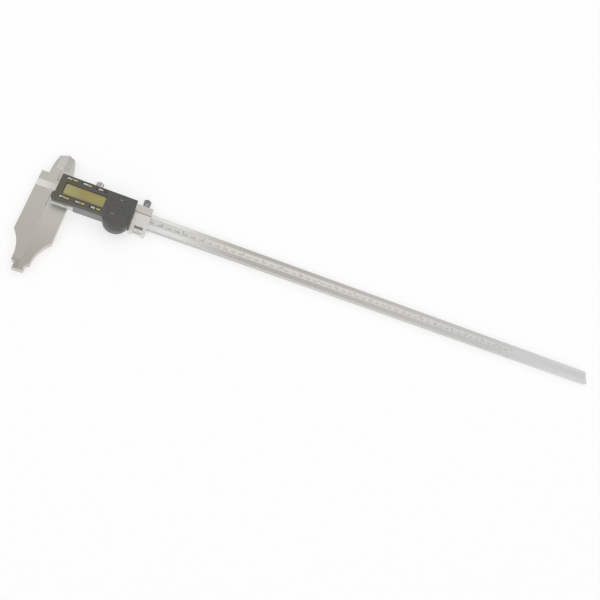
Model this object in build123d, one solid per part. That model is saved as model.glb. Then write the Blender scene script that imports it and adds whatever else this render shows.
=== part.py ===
from build123d import *
import math
import os

# Digital caliper for 0 to 600 mm, shown closed and lying on its back with the display up.
# Millimetres. X runs along the beam and is 0 where the closed jaws meet. Y points to the upper
# jaws and is 0 at the beam's upper edge. Z points out of the display and is 0 at the beam's front.
# At the end everything is moved so that the origin is under the middle of the instrument.

# Beam with its fixed jaw, and the measuring travel
beam_width = 20.0
beam_thickness = 6.0
beam_end = 769.7
beam_edge_chamfer = 0.3
beam_end_round = 2.0
scale_inset = 5.4
scale_width = 8.4
scale_recess = 0.5
scale_thickness = 0.45
scale_end_margin = 4.0

# Jaws
back_z = -7.6
fixed_jaw_width = 19.0
sliding_jaw_width = 20.4
fixed_taper_y = -72.5
sliding_taper_y = -76.0
shoulder_x = 8.8
shoulder_y = -104.5
shoulder_drop = 2.2
nib_half = 6.0
nib_top_y = -107.6
jaw_tip_y = -115.5
taper_sag = 2.9
blade_top = 38.4
blade_corner_x = 8.3
blade_corner_y = 32.0
blade_side_y = 13.0
blade_bow = 0.5
fixed_blade_width = 11.3
sliding_blade_width = 12.2
edge_bevel_width = 7.2
edge_bevel_depth = 2.8
edge_root_y = 14.5
relief_hole_r = 0.9
relief_gap = 1.0
relief_bottom_y = -36.0
closed_gap = 0.02

# Slider frame round the beam
slide_gap = 0.05
rail_top = 6.0
rail_bottom = -27.0
frame_left = 2.0
frame_right = 84.4
front_wall_z = 2.4
front_wall_gap = 0.1
boss_bottom = -28.8
back_plate_thickness = 1.5
back_plate_rim = 0.6
gib_thickness = 1.5
gib_screw_gap = 0.07
gib_z_gap = 0.1
gib_screw_r = 1.25
gib_screw_x = (15.0, 70.0)
plate_screw_r = 1.3
plate_screw_depth = 2.6
plate_screw_top_x = (7.0, 78.0)
plate_screw_bottom_x = (16.0, 50.0)
driver_slot_width = 0.5
driver_slot_depth = 0.5

# Clamp screws, one on the slider and one on the carriage
clamp_r = 2.0
clamp_bore_gap = 0.06
clamp_tip_gap = 0.12
clamp_z = -3.0
clamp_head_r = 4.15
clamp_neck = 1.0
clamp_collar = 4.4
clamp_knurl = 5.4
clamp_teeth = 22
knurl_depth = 0.35
slider_clamp_x = 42.0

# Electronics housing
housing_left = 4.0
housing_right = 87.7
housing_top = 4.4
housing_bottom = -28.0
housing_wall = 1.2
corner_r = 1.0
lip_x = 1.6
lip_low_y = -25.8
lip_high_y = -22.5
lip_start_y = -19.5
base_floor = 0.8
base_top = 5.2
face_z = 11.5
pad_step = 0.5
face_thickness = 1.8
face_bevel = 0.5
pad_head_r = 12.4
pad_head_left = 168.0
pad_head_right = 12.0
pad_foot_left = -128.0
pad_foot_right = -31.0
skirt_low_z = -6.4
skirt_thickness = 0.95
skirt_left = 25.7
skirt_right = 59.3
right_skirt_top = -20.4
lobe_left = 59.5
lobe_middle_x = 73.2
lobe_low_y = -38.5
lobe_right_y = -28.4
lobe_flutes = 13
lobe_flute_side = 0.9
lobe_flute_step = 7.6

# Display, keys and boards
display_left = 11.0
display_right = 55.7
display_top = -5.0
display_bottom = -20.3
lens_gap = 0.05
lens_ledge = 0.6
lens_thickness = 1.05
lens_sink = 0.15
cell_margin = 0.55
cell_bottom_z = 7.3
cell_gap = 0.02
board_left = 9.5
board_right = 54.5
board_top = 2.0
board_bottom = -26.2
board_thickness = 1.0
zebra_width = 1.6
zebra_inset = 0.6
key_length = 11.8
key_height = 3.0
key_corner = 0.7
key_gap = 0.2
key_flange = 0.35
key_flange_thickness = 1.0
key_rest_gap = 0.05
key_travel = 0.5
key_first_x = 15.2
key_pitch = 16.3
key_count = 3
key_row_top = 0.75
key_row_bottom = -24.2
dome_width = 2.6
dome_leg = 1.0
dome_height = 0.6
window_left = 13.0
window_right = 53.0
window_top = -2.2
window_bottom = -17.0
pickup_gap = 0.2
pickup_thickness = 1.2
connector_length = 24.0
connector_width = 2.0
chip_side = 7.0
chip_height = 1.4
cover_screw_x = (6.6, 56.0)
cover_screw_y = -24.4
cover_screw_r = 1.2
cover_boss_half = 1.9
cover_screw_top_z = 8.6
base_screw_spots = ((7.2, -1.0), (82.0, 0.6))
base_screw_r = 0.9
base_screw_head_r = 1.7
base_screw_head = 1.1
base_screw_bite = 1.8

# Battery and its cap
battery_x = 69.4
battery_y = -13.5
battery_r = 8.0
battery_thickness = 3.2
well_gap = 0.35
well_wall = 0.9
well_floor = 0.7
contact_thickness = 0.2
contact_length = 9.0
contact_width = 3.0
side_contact_thickness = 0.25
cap_r = 9.4
cap_gap = 0.1
cap_thickness = 1.2
cap_stand = 0.3
coin_slot_length = 12.0
coin_slot_width = 1.8
coin_slot_depth = 0.8

# Thumb wheel with its friction roller against the beam's lower edge
wheel_x = 72.4
wheel_y = -27.7
wheel_r = 14.0
wheel_gap = 0.3
wheel_low_z = 0.4
wheel_high_z = 6.2
wheel_teeth = 42
wheel_dish_r = 9.6
wheel_dish = 1.0
roller_gap = 0.03
roller_low_z = -5.6
roller_high_z = -1.6
hub_r = 3.8
hub_gap = 0.4
bridge_low_z = -1.3
axle_r = 1.5
axle_gap = 0.05
axle_top_z = 6.1
axle_tongue_r = 4.0
clip_r = 2.8
clip_thickness = 0.5
clip_low_z = 5.25
clip_opening = 60.0

# Fine adjustment: carriage, threaded rod and knurled nut
carriage_left = 88.1
carriage_right = 106.7
carriage_top = 5.6
carriage_bar_bottom = -22.5
carriage_lug_bottom = -31.1
left_lug_width = 4.6
right_lug_width = 4.2
carriage_gib_thickness = 1.2
carriage_clamp_x = 97.6
carriage_screw_inset = 2.4
carriage_screw_r = 0.9
carriage_groove_y = -4.9
carriage_groove_width = 0.7
carriage_groove_depth = 0.6
carriage_edge_round = 0.6
nut_r = 3.9
nut_side_gap = 0.05
nut_teeth = 26
rod_r = 1.5
rod_nut_gap = 0.03
rod_lug_gap = 0.1
rod_y = -27.0
rod_z = -3.2
rod_end = 105.9
rod_chamfer = 0.3
lug_left = 81.6
lug_right = 86.3
lug_bottom = -29.8
lug_top_z = -0.1
skirt_hole_r = 1.9

# Stop at the beam's free end
stop_end_gap = 33.7
stop_length = 12.0
stop_margin = 4.0
stop_screw_r = 1.3
stop_screw_depth = 2.6

# Places worked out from the sizes above
beam_top = 0.0
beam_bottom = beam_top - beam_width
beam_back = -beam_thickness
stop_left = beam_end - stop_end_gap - stop_length
scale_top = beam_top - scale_inset
scale_bottom = scale_top - scale_width
channel_bottom = beam_bottom - slide_gap
gib_low = beam_top + slide_gap
gib_high = gib_low + gib_thickness
channel_top = gib_high + gib_screw_gap
frame_back = back_z + back_plate_thickness
pad_z = face_z + pad_step
base_floor_top = front_wall_z + base_floor
board_top_z = base_floor_top + board_thickness
cover_ceiling = face_z - face_thickness
lens_top_z = face_z - lens_sink
lens_low_z = lens_top_z - lens_thickness
cell_top_z = cover_ceiling - cell_gap
key_low_z = board_top_z + dome_height + key_travel + key_rest_gap
key_top_z = pad_z
pickup_low_z = pickup_gap - (scale_recess - scale_thickness)
pickup_top_z = pickup_low_z + pickup_thickness
well_r = battery_r + well_gap
well_floor_low = wheel_high_z + wheel_gap
well_floor_top = well_floor_low + well_floor
battery_low_z = well_floor_top + contact_thickness
battery_top_z = battery_low_z + battery_thickness
cap_top_z = pad_z + cap_stand
cap_seat_z = cap_top_z - cap_thickness - cap_gap
roller_r = beam_bottom - roller_gap - wheel_y
carriage_channel_top = gib_low + carriage_gib_thickness + gib_screw_gap
nut_left = carriage_left + left_lug_width + nut_side_gap
nut_right = carriage_right - right_lug_width - nut_side_gap


def slab(x0, x1, y0, y1, z0, z1):
    """Box between two opposite corners."""
    middle = Pos((x0 + x1) / 2, (y0 + y1) / 2, (z0 + z1) / 2)
    return middle * Box(x1 - x0, y1 - y0, z1 - z0)


def post(x, y, z0, z1, radius):
    """Round bar along Z."""
    up = (Align.CENTER, Align.CENTER, Align.MIN)
    return Pos(x, y, z0) * Cylinder(radius, z1 - z0, align=up)


def bar_along_x(x0, x1, y, z, radius):
    """Round bar along X."""
    return Pos((x0 + x1) / 2, y, z) * Rot(0, 90, 0) * Cylinder(radius, x1 - x0)


def bar_along_y(x, y0, y1, z, radius):
    """Round bar along Y."""
    return Pos(x, (y0 + y1) / 2, z) * Rot(90, 0, 0) * Cylinder(radius, y1 - y0)


def plate(face, z0, z1):
    """Flat outline raised from z0 to z1."""
    return extrude(Pos(0, 0, z0) * face, z1 - z0)


def toothed_outline(radius, teeth, depth):
    """Outline of a knurled or serrated round piece."""
    half_step = math.pi / teeth
    points = []
    for i in range(2 * teeth):
        reach = radius - depth * (i % 2)
        points.append((reach * math.cos(i * half_step), reach * math.sin(i * half_step)))
    return Polygon(*points, align=None)


def flush_screw(x, y, z0, z1, radius):
    """Headless slotted screw driven in from the back until it is flush at z0."""
    half = driver_slot_width / 2
    slot = slab(x - radius, x + radius, y - half, y + half, z0, z0 + driver_slot_depth)
    return post(x, y, z0, z1, radius) - slot


def lower_jaw_face(inner_x, outer_x, taper_y, top_y):
    """Lower jaw's outline on the plus X side: straight back, hollow taper, shoulder and nib."""
    start = (outer_x, taper_y)
    shoulder = (shoulder_x, shoulder_y)
    shoulder_foot = (shoulder_x, shoulder_y - shoulder_drop)
    edges = [
        Line((inner_x, top_y), (outer_x, top_y)),
        Line((outer_x, top_y), start),
        SagittaArc(start, shoulder, -taper_sag),
        Line(shoulder, shoulder_foot),
        Line(shoulder_foot, (nib_half, nib_top_y)),
        Line((nib_half, nib_top_y), (nib_half, jaw_tip_y)),
        Line((nib_half, jaw_tip_y), (inner_x, jaw_tip_y)),
        Line((inner_x, jaw_tip_y), (inner_x, top_y)),
    ]
    return make_face(edges)


def blade_face(inner_x, outer_x, foot_y):
    """Upper jaw's outline on the plus X side, with a bowed back that runs up to the point."""
    corner = (blade_corner_x, blade_corner_y)
    side = (outer_x, blade_side_y)
    middle = ((outer_x + blade_corner_x) / 2 + blade_bow, (blade_side_y + blade_corner_y) / 2)
    edges = [
        Line((inner_x, foot_y), (outer_x, foot_y)),
        Line((outer_x, foot_y), side),
        ThreePointArc(side, middle, corner),
        Line(corner, (inner_x, blade_top)),
        Line((inner_x, blade_top), (inner_x, foot_y)),
    ]
    return make_face(edges)


def edge_bevels():
    """Ground flats that thin the upper jaws to a knife edge, front and back, on the plus X side."""
    reach = blade_top - edge_root_y + 1.0
    front = Polygon((0, 0), (edge_bevel_width, 0), (0, -edge_bevel_depth), align=None)
    back = Polygon((0, back_z), (edge_bevel_width, back_z), (0, back_z + edge_bevel_depth), align=None)
    standing = Plane.XZ.offset(-edge_root_y)
    upwards = (0, 1, 0)
    return extrude(standing * front, reach, dir=upwards) + extrude(standing * back, reach, dir=upwards)


def nib_round():
    """Everything round the nib that its rounded measuring face leaves off, on the plus X side."""
    middle_z = back_z / 2
    block = slab(0, 2 * nib_half, jaw_tip_y - 1, nib_top_y, back_z - 1, 1)
    return block - bar_along_y(0, jaw_tip_y - 2, nib_top_y + 1, middle_z, nib_half)


def jaw_pair_half(inner_x, lower_width, taper_y, blade_width, top_y):
    """Lower jaw and blade of one side, mirrored by the caller for the fixed jaw."""
    lower = plate(lower_jaw_face(inner_x, lower_width, taper_y, top_y), back_z, 0)
    upper = plate(blade_face(inner_x, blade_width, top_y - 1.0), back_z, 0)
    shape = lower + upper
    shape -= edge_bevels()
    shape -= nib_round()
    shape -= post(0, edge_root_y, back_z - 1, 1, relief_hole_r)
    return shape


def main_beam():
    """Beam and fixed jaw, one hardened piece with a shallow recess for the scale."""
    beam = slab(-fixed_jaw_width, beam_end, beam_bottom, beam_top, beam_back, 0)
    beam = fillet(beam.edges().filter_by(Axis.Z).group_by(Axis.X)[-1], beam_end_round)
    long_edges = beam.edges().filter_by(Axis.X)
    beam = chamfer(long_edges, beam_edge_chamfer)
    jaw = jaw_pair_half(0, fixed_jaw_width, fixed_taper_y, fixed_blade_width, rail_top)
    jaw -= slab(-1, relief_gap, relief_bottom_y, edge_root_y, back_z - 1, 1)
    body = beam + mirror(jaw, Plane.YZ)
    body -= slab(-fixed_jaw_width - 1, beam_end + 1, scale_bottom, scale_top, -scale_recess, 1)
    stop_x = stop_screw_places()
    for x in stop_x:
        hole_top = beam_back + stop_screw_depth
        body -= post(x, (scale_top + scale_bottom) / 2, beam_back - 1, hole_top, stop_screw_r)
    return body


def scale_strip():
    """Scale strip bonded into the beam's recess."""
    top = scale_thickness - scale_recess
    right = beam_end - scale_end_margin
    return slab(-fixed_jaw_width, right, scale_bottom, scale_top, -scale_recess, top)


def stop_screw_places():
    """X of the two screws in the end stop."""
    return (stop_left + stop_margin, stop_left + stop_length - stop_margin)


def end_stop():
    """Plate on the beam's back that keeps the carriage on the beam."""
    middle = (scale_top + scale_bottom) / 2
    half = stop_length / 2
    body = slab(stop_left, stop_left + stop_length, middle - half, middle + half, back_z, beam_back)
    for x in stop_screw_places():
        body -= post(x, middle, back_z - 1, beam_back + 1, stop_screw_r)
    return body


def end_stop_screws():
    """Two flush screws through the end stop into the beam."""
    middle = (scale_top + scale_bottom) / 2
    tip = beam_back + stop_screw_depth
    return [flush_screw(x, middle, back_z, tip, stop_screw_r) for x in stop_screw_places()]


def plate_screw_places():
    """Places of the screws that hold the slider's back plate."""
    top_y = (channel_top + rail_top) / 2
    bottom_y = (rail_bottom + channel_bottom) / 2
    places = [(x, top_y) for x in plate_screw_top_x]
    places += [(x, bottom_y) for x in plate_screw_bottom_x]
    return places


def slider_frame():
    """Slider with the sliding jaw: rails above and below the beam, and a front wall across it."""
    jaw = jaw_pair_half(closed_gap, sliding_jaw_width, sliding_taper_y, sliding_blade_width, rail_top)
    body = jaw + slab(closed_gap, frame_right, rail_bottom, rail_top, frame_back, front_wall_gap)
    body -= slab(closed_gap - 1, frame_left, rail_bottom - 1, rail_top + 1, 0, 1)
    body += slab(frame_left, frame_right, rail_bottom, rail_top, 0, front_wall_z)
    body += slab(frame_left, sliding_jaw_width, boss_bottom, rail_bottom, 0, front_wall_z)
    body += slab(lug_left, lug_right, lug_bottom, channel_bottom, frame_back, lug_top_z)
    body -= slab(-1, frame_right + 1, channel_bottom, channel_top, back_z - 1, front_wall_gap)
    body -= back_plate_blank()
    body -= slab(window_left, window_right, window_bottom, window_top, 0, front_wall_z + 1)
    body -= post(wheel_x, wheel_y, front_wall_gap, front_wall_z + 1, wheel_r + wheel_gap)
    body -= post(wheel_x, wheel_y, frame_back - 1, bridge_low_z, roller_r + hub_gap)
    body -= post(wheel_x, wheel_y, bridge_low_z - 1, front_wall_gap + 1, hub_r + hub_gap)
    body -= bar_along_x(lug_left - 1, lug_right + 1, rod_y, rod_z, rod_r)
    for x in gib_screw_x:
        body -= bar_along_y(x, channel_top - 1, rail_top + 1, clamp_z, gib_screw_r)
    clamp_hole_r = clamp_r + clamp_bore_gap
    body -= bar_along_y(slider_clamp_x, channel_top - 1, rail_top + 1, clamp_z, clamp_hole_r)
    for x, y in plate_screw_places():
        body -= post(x, y, frame_back - 1, frame_back + plate_screw_depth, plate_screw_r)
    for x in cover_screw_x:
        body -= post(x, cover_screw_y, frame_back - 1, front_wall_z + 1, cover_screw_r)
    for x, y in base_screw_spots:
        body -= post(x, y, front_wall_z - base_screw_bite, front_wall_z + 1, base_screw_r)
    return body


def back_plate_blank():
    """Outline of the slider's back plate at its full thickness."""
    body = slab(frame_left, frame_right, rail_bottom + back_plate_rim, rail_top - back_plate_rim,
                back_z, frame_back)
    return body


def slider_back_plate():
    """Plate that closes the slider behind the beam, with a tongue for the thumb wheel's axle."""
    body = back_plate_blank()
    tongue_left = wheel_x - axle_tongue_r
    tongue_right = wheel_x + axle_tongue_r
    body += slab(tongue_left, tongue_right, wheel_y, rail_bottom + back_plate_rim, back_z, frame_back)
    body += post(wheel_x, wheel_y, back_z, frame_back, axle_tongue_r)
    body -= post(wheel_x, wheel_y, back_z - 1, frame_back + 1, axle_r)
    for x, y in plate_screw_places():
        body -= post(x, y, back_z - 1, frame_back + 1, plate_screw_r)
    return body


def back_plate_screws():
    """Flush screws of the slider's back plate."""
    tip = frame_back + plate_screw_depth
    return [flush_screw(x, y, back_z, tip, plate_screw_r) for x, y in plate_screw_places()]


def gib_strip():
    """Gib between the beam's upper edge and the slider's upper rail."""
    return slab(frame_left, frame_right, gib_low, gib_high, frame_back + gib_z_gap, -gib_z_gap)


def gib_screws():
    """Slotted set screws that press the gib down."""
    screws = []
    for x in gib_screw_x:
        screw = bar_along_y(x, gib_high, rail_top, clamp_z, gib_screw_r)
        slot_half = gib_screw_r / 5
        screw -= slab(x - gib_screw_r, x + gib_screw_r, rail_top - gib_screw_r / 2, rail_top + 1,
                      clamp_z - slot_half, clamp_z + slot_half)
        screws.append(screw)
    return screws


def clamp_screw(x, tip_y, seat_y):
    """Clamp screw with a smooth collar and a knurled grip."""
    collar_low = seat_y + clamp_neck
    knurl_low = collar_low + clamp_collar
    body = bar_along_y(x, tip_y, collar_low, clamp_z, clamp_r)
    body += bar_along_y(x, collar_low, knurl_low, clamp_z, clamp_head_r)
    outline = toothed_outline(clamp_head_r, clamp_teeth, knurl_depth)
    lying = Plane((x, knurl_low, clamp_z), x_dir=(1, 0, 0), z_dir=(0, 1, 0))
    return body + extrude(lying * outline, clamp_knurl)


def slider_clamp_screw():
    """Clamp screw on top of the slider."""
    return clamp_screw(slider_clamp_x, gib_high + clamp_tip_gap, rail_top)


def pickup_board():
    """Pick-up board in the slider's window, just above the scale strip."""
    return slab(window_left, window_right, window_bottom, window_top, pickup_low_z, pickup_top_z)


def board_connector():
    """Connector between the pick-up board and the main board."""
    middle = (window_left + window_right) / 2
    half = connector_length / 2
    low = window_top - 1 - connector_width
    return slab(middle - half, middle + half, low, low + connector_width, pickup_top_z, base_floor_top)


def housing_outline():
    """Front outline of the electronics housing without the thumb wheel's lobe."""
    points = [
        (housing_right, housing_top),
        (housing_left, housing_top),
        (housing_left, lip_start_y),
        (lip_x, lip_high_y),
        (lip_x, lip_low_y),
        (housing_left, housing_bottom),
        (housing_right, housing_bottom),
    ]
    face = Polygon(*points, align=None)
    return fillet([v for v in face.vertices() if v.Y > 0], corner_r)


def lobe_arc():
    """Rounded edge of the cover over the thumb wheel."""
    start = (lobe_left, housing_bottom)
    end = (housing_right, lobe_right_y)
    return ThreePointArc(start, (lobe_middle_x, lobe_low_y), end)


def cover_outline():
    """Front outline of the cover, with the rounded lobe over the thumb wheel."""
    rest = Polyline(
        (housing_right, lobe_right_y),
        (housing_right, housing_top),
        (housing_left, housing_top),
        (housing_left, lip_start_y),
        (lip_x, lip_high_y),
        (lip_x, lip_low_y),
        (housing_left, housing_bottom),
        (lobe_left, housing_bottom),
    )
    face = make_face([*rest.edges(), *lobe_arc().edges()])
    return fillet([v for v in face.vertices() if v.Y > 0], corner_r)


def on_circle(centre, radius, degrees):
    """Point on a circle."""
    turn = math.radians(degrees)
    return (centre[0] + radius * math.cos(turn), centre[1] + radius * math.sin(turn))


def raised_pad():
    """Low drop-shaped pad round the battery cap that runs down into the lobe."""
    arc = lobe_arc()
    foot = (arc.arc_center.X, arc.arc_center.Y)
    foot_r = arc.radius - face_bevel
    head = (battery_x, battery_y)
    head_left = on_circle(head, pad_head_r, pad_head_left)
    head_right = on_circle(head, pad_head_r, pad_head_right)
    foot_left = on_circle(foot, foot_r, pad_foot_left)
    foot_right = on_circle(foot, foot_r, pad_foot_right)
    foot_middle = on_circle(foot, foot_r, (pad_foot_left + pad_foot_right) / 2)
    edges = [
        ThreePointArc(head_left, on_circle(head, pad_head_r, 90), head_right),
        Line(head_right, foot_right),
        ThreePointArc(foot_right, foot_middle, foot_left),
        Line(foot_left, head_left),
    ]
    pad = plate(make_face(edges), face_z - pad_step, pad_z)
    return chamfer(pad.edges().group_by(Axis.Z)[-1], pad_step / 2)


def housing_base():
    """Plastic tray screwed to the slider's front, with a skirt below and at the right end."""
    outer = housing_outline()
    inner = offset(outer, -housing_wall)
    body = plate(outer, front_wall_z, base_top) - plate(inner, base_floor_top, base_top + 1)
    skirt_top_y = rail_bottom - slide_gap
    skirt_low_y = skirt_top_y - skirt_thickness
    body += slab(skirt_left, skirt_right, housing_bottom, skirt_top_y, skirt_low_z, front_wall_z)
    right_inner = housing_right - housing_wall
    body += slab(right_inner, housing_right, skirt_low_y, right_skirt_top, skirt_low_z, front_wall_z)
    body -= post(wheel_x, wheel_y, front_wall_gap, base_top + 1, wheel_r + wheel_gap)
    body -= bar_along_x(right_inner - 1, housing_right + 1, rod_y, rod_z, skirt_hole_r)
    body -= slab(window_left, window_right, window_bottom, window_top, front_wall_z - 1, base_floor_top)
    jaw_seat = slab(lip_x - 1, sliding_jaw_width + slide_gap, boss_bottom, housing_top, skirt_low_z, 0)
    body -= jaw_seat
    for x in cover_screw_x:
        body -= post(x, cover_screw_y, front_wall_z - 1, base_floor_top + 1, cover_screw_r)
    for x, y in base_screw_spots:
        body -= post(x, y, front_wall_z - 1, base_floor_top + 1, base_screw_r)
    return body


def base_screws():
    """Pan head screws that hold the tray on the slider's front."""
    screws = []
    for x, y in base_screw_spots:
        low = front_wall_z - base_screw_bite
        screw = post(x, y, low, base_floor_top, base_screw_r)
        screw += post(x, y, base_floor_top, base_floor_top + base_screw_head, base_screw_head_r)
        screws.append(screw)
    return screws


def key_places():
    """Centres of the six keys, upper row first."""
    places = []
    for y in (key_row_top, key_row_bottom):
        for i in range(key_count):
            places.append((key_first_x + i * key_pitch, y))
    return places


def key_outline(x, y, grow):
    """Key's outline with cut corners, larger by grow on every side."""
    shape = Rectangle(key_length + 2 * grow, key_height + 2 * grow)
    return Pos(x, y) * chamfer(shape.vertices(), key_corner + grow / 2)


def lobe_flute(turn):
    """Corner of a square bar that cuts one flute into the lobe's edge."""
    arc = lobe_arc()
    x, y = on_circle((arc.arc_center.X, arc.arc_center.Y), arc.radius, turn)
    half = lobe_flute_side / 2
    bar = slab(-half, half, -half, half, base_top - 1, face_z - face_bevel)
    return Pos(x, y) * Rot(0, 0, turn + 45) * bar


def front_cover():
    """Front shell with display opening, six key holes, battery well and fluted lobe."""
    outline = cover_outline()
    outer = plate(outline, base_top, face_z)
    top_edges = outer.edges().group_by(Axis.Z)[-1]
    outer = chamfer(top_edges, face_bevel)
    inner = plate(offset(outline, -housing_wall), base_top - 1, cover_ceiling)
    body = outer - inner + raised_pad()
    well_half = cap_r + cap_gap + well_wall
    body += slab(battery_x - well_half, battery_x + well_half, battery_y - well_half,
                 battery_y + well_half, well_floor_low, face_z)
    body -= post(battery_x, battery_y, well_floor_top, pad_z + 1, well_r)
    body -= post(battery_x, battery_y, cap_seat_z, pad_z + 1, cap_r + cap_gap)
    body -= slab(display_left - lens_gap, display_right + lens_gap, display_bottom - lens_gap,
                 display_top + lens_gap, lens_low_z, face_z + 1)
    body -= slab(display_left + lens_ledge, display_right - lens_ledge, display_bottom + lens_ledge,
                 display_top - lens_ledge, cover_ceiling - 1, face_z + 1)
    for x, y in key_places():
        body -= plate(key_outline(x, y, key_gap), cover_ceiling - 1, face_z + 1)
    for x in cover_screw_x:
        body += slab(x - cover_boss_half, x + cover_boss_half, cover_screw_y - cover_boss_half,
                     cover_screw_y + cover_boss_half, base_top, cover_ceiling)
        body -= post(x, cover_screw_y, base_top - 1, cover_screw_top_z, cover_screw_r)
    body -= post(wheel_x, wheel_y, base_top - 1, wheel_high_z + wheel_gap, wheel_r + wheel_gap)
    for i in range(lobe_flutes):
        body -= lobe_flute(-90 + (i - (lobe_flutes - 1) / 2) * lobe_flute_step)
    return body


def cover_screws():
    """Screws from behind the lower rail through the tray into the front cover's bosses."""
    return [flush_screw(x, cover_screw_y, frame_back, cover_screw_top_z, cover_screw_r)
            for x in cover_screw_x]


def main_board():
    """Main circuit board behind the display."""
    return slab(board_left, board_right, board_bottom, board_top, base_floor_top, board_top_z)


def processor_chip():
    """Processor on the main board, under the display."""
    x = (display_left + display_right) / 2
    y = (display_top + display_bottom) / 2
    half = chip_side / 2
    return slab(x - half, x + half, y - half, y + half, board_top_z, board_top_z + chip_height)


def key_domes():
    """Six four-legged snap domes on the main board, one under each key."""
    domes = []
    for x, y in key_places():
        cross = Rectangle(dome_width, dome_leg) + Rectangle(dome_leg, dome_width)
        domes.append(plate(Pos(x, y) * cross, board_top_z, board_top_z + dome_height))
    return domes


def zebra_strips():
    """Conductive rubber strips from the board up to the display."""
    strips = []
    upper_low = display_top - zebra_inset - zebra_width
    for low in (upper_low, display_bottom + zebra_inset):
        strips.append(slab(display_left, board_right, low, low + zebra_width, board_top_z, cell_bottom_z))
    return strips


def lcd_cell():
    """Liquid crystal display cell."""
    return slab(display_left - cell_margin, display_right + cell_margin, display_bottom - cell_margin,
                display_top + cell_margin, cell_bottom_z, cell_top_z)


def lcd_window():
    """Clear window set in the front cover."""
    return slab(display_left, display_right, display_bottom, display_top, lens_low_z, lens_top_z)


def key(x, y):
    """Key cap with a flange that keeps it under the cover."""
    cap = plate(key_outline(x, y, 0), key_low_z, key_top_z)
    wide = Rectangle(key_length + 2 * key_flange, key_height + 2 * key_flange)
    flange_top = cover_ceiling - key_gap
    return cap + plate(Pos(x, y) * wide, flange_top - key_flange_thickness, flange_top)


def battery():
    """Coin cell."""
    return post(battery_x, battery_y, battery_low_z, battery_top_z, battery_r)


def battery_contacts():
    """Flat contact under the cell and a leaf at its side."""
    half_length = contact_length / 2
    half_width = contact_width / 2
    flat = slab(battery_x - half_length, battery_x + half_length, battery_y - half_width,
                battery_y + half_width, well_floor_top, battery_low_z)
    leaf_low = battery_x + battery_r + closed_gap
    leaf = slab(leaf_low, leaf_low + side_contact_thickness, battery_y - half_width / 2,
                battery_y + half_width / 2, well_floor_top, battery_top_z)
    return [flat, leaf]


def battery_cap():
    """Round cap with a coin slot."""
    cap = post(battery_x, battery_y, cap_seat_z + cap_gap, cap_top_z, cap_r)
    cap = chamfer(cap.edges().filter_by(GeomType.CIRCLE).group_by(Axis.Z)[-1], cap_stand)
    slot = Rectangle(coin_slot_length, coin_slot_width)
    return cap - plate(Pos(battery_x, battery_y) * slot, cap_top_z - coin_slot_depth, cap_top_z + 1)


def thumb_wheel():
    """Knurled wheel over the beam, with a hub that reaches down beside the beam."""
    place = Pos(wheel_x, wheel_y)
    body = plate(place * toothed_outline(wheel_r, wheel_teeth, knurl_depth), wheel_low_z, wheel_high_z)
    body += post(wheel_x, wheel_y, roller_low_z, wheel_low_z, hub_r)
    body -= post(wheel_x, wheel_y, wheel_high_z - wheel_dish, wheel_high_z + 1, wheel_dish_r)
    body -= post(wheel_x, wheel_y, roller_low_z - 1, wheel_high_z + 1, axle_r + axle_gap)
    return body


def friction_roller():
    """Rubber ring on the hub that rolls on the beam's lower edge."""
    ring = post(wheel_x, wheel_y, roller_low_z, roller_high_z, roller_r)
    return ring - post(wheel_x, wheel_y, roller_low_z - 1, roller_high_z + 1, hub_r)


def wheel_axle():
    """Axle fixed in the back plate's tongue."""
    return post(wheel_x, wheel_y, back_z, axle_top_z, axle_r)


def wheel_clip():
    """Open clip that keeps the wheel on its axle."""
    ring = post(wheel_x, wheel_y, clip_low_z, clip_low_z + clip_thickness, clip_r)
    ring -= post(wheel_x, wheel_y, clip_low_z - 1, axle_top_z, axle_r)
    reach = 2 * clip_r
    half = math.radians(clip_opening / 2)
    wedge = Polygon((0, 0), (reach, -reach * math.tan(half)), (reach, reach * math.tan(half)), align=None)
    return ring - plate(Pos(wheel_x, wheel_y) * wedge, clip_low_z - 1, axle_top_z)


def fine_adjust_rod():
    """Threaded rod fixed in the slider's lug, which the knurled nut runs on."""
    rod = bar_along_x(lug_left, rod_end, rod_y, rod_z, rod_r)
    return chamfer(rod.edges().filter_by(GeomType.CIRCLE).group_by(Axis.X)[-1], rod_chamfer)


def carriage_screw_places():
    """Places of the two screws at opposite corners of the carriage's back plate."""
    top = (carriage_right - carriage_screw_inset, (carriage_channel_top + carriage_top) / 2)
    bottom = (carriage_left + carriage_screw_inset, (carriage_bar_bottom + channel_bottom) / 2)
    return [top, bottom]


def carriage_frame():
    """Carriage round the beam, with two lugs that hold the fine adjustment nut between them."""
    body = slab(carriage_left, carriage_right, carriage_bar_bottom, carriage_top, frame_back, front_wall_z)
    lug_low = carriage_lug_bottom
    left_lug_end = carriage_left + left_lug_width
    right_lug_start = carriage_right - right_lug_width
    body += slab(carriage_left, left_lug_end, lug_low, carriage_bar_bottom, frame_back, front_wall_z)
    body += slab(right_lug_start, carriage_right, lug_low, carriage_bar_bottom, frame_back, front_wall_z)
    corners = body.edges().filter_by(Axis.Z).group_by(Axis.Y)
    body = fillet(corners[0] + corners[-1], carriage_edge_round)
    body -= slab(carriage_left - 1, carriage_right + 1, channel_bottom, carriage_channel_top,
                 frame_back - 1, front_wall_gap)
    groove_half = carriage_groove_width / 2
    body -= slab(carriage_left - 1, carriage_right + 1, carriage_groove_y - groove_half,
                 carriage_groove_y + groove_half, front_wall_z - carriage_groove_depth, front_wall_z + 1)
    body -= bar_along_x(carriage_left - 1, carriage_right + 1, rod_y, rod_z, rod_r + rod_lug_gap)
    clamp_hole_r = clamp_r + clamp_bore_gap
    body -= bar_along_y(carriage_clamp_x, carriage_channel_top - 1, carriage_top + 1, clamp_z, clamp_hole_r)
    for x, y in carriage_screw_places():
        body -= post(x, y, frame_back - 1, frame_back + plate_screw_depth, carriage_screw_r)
    return body


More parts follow.
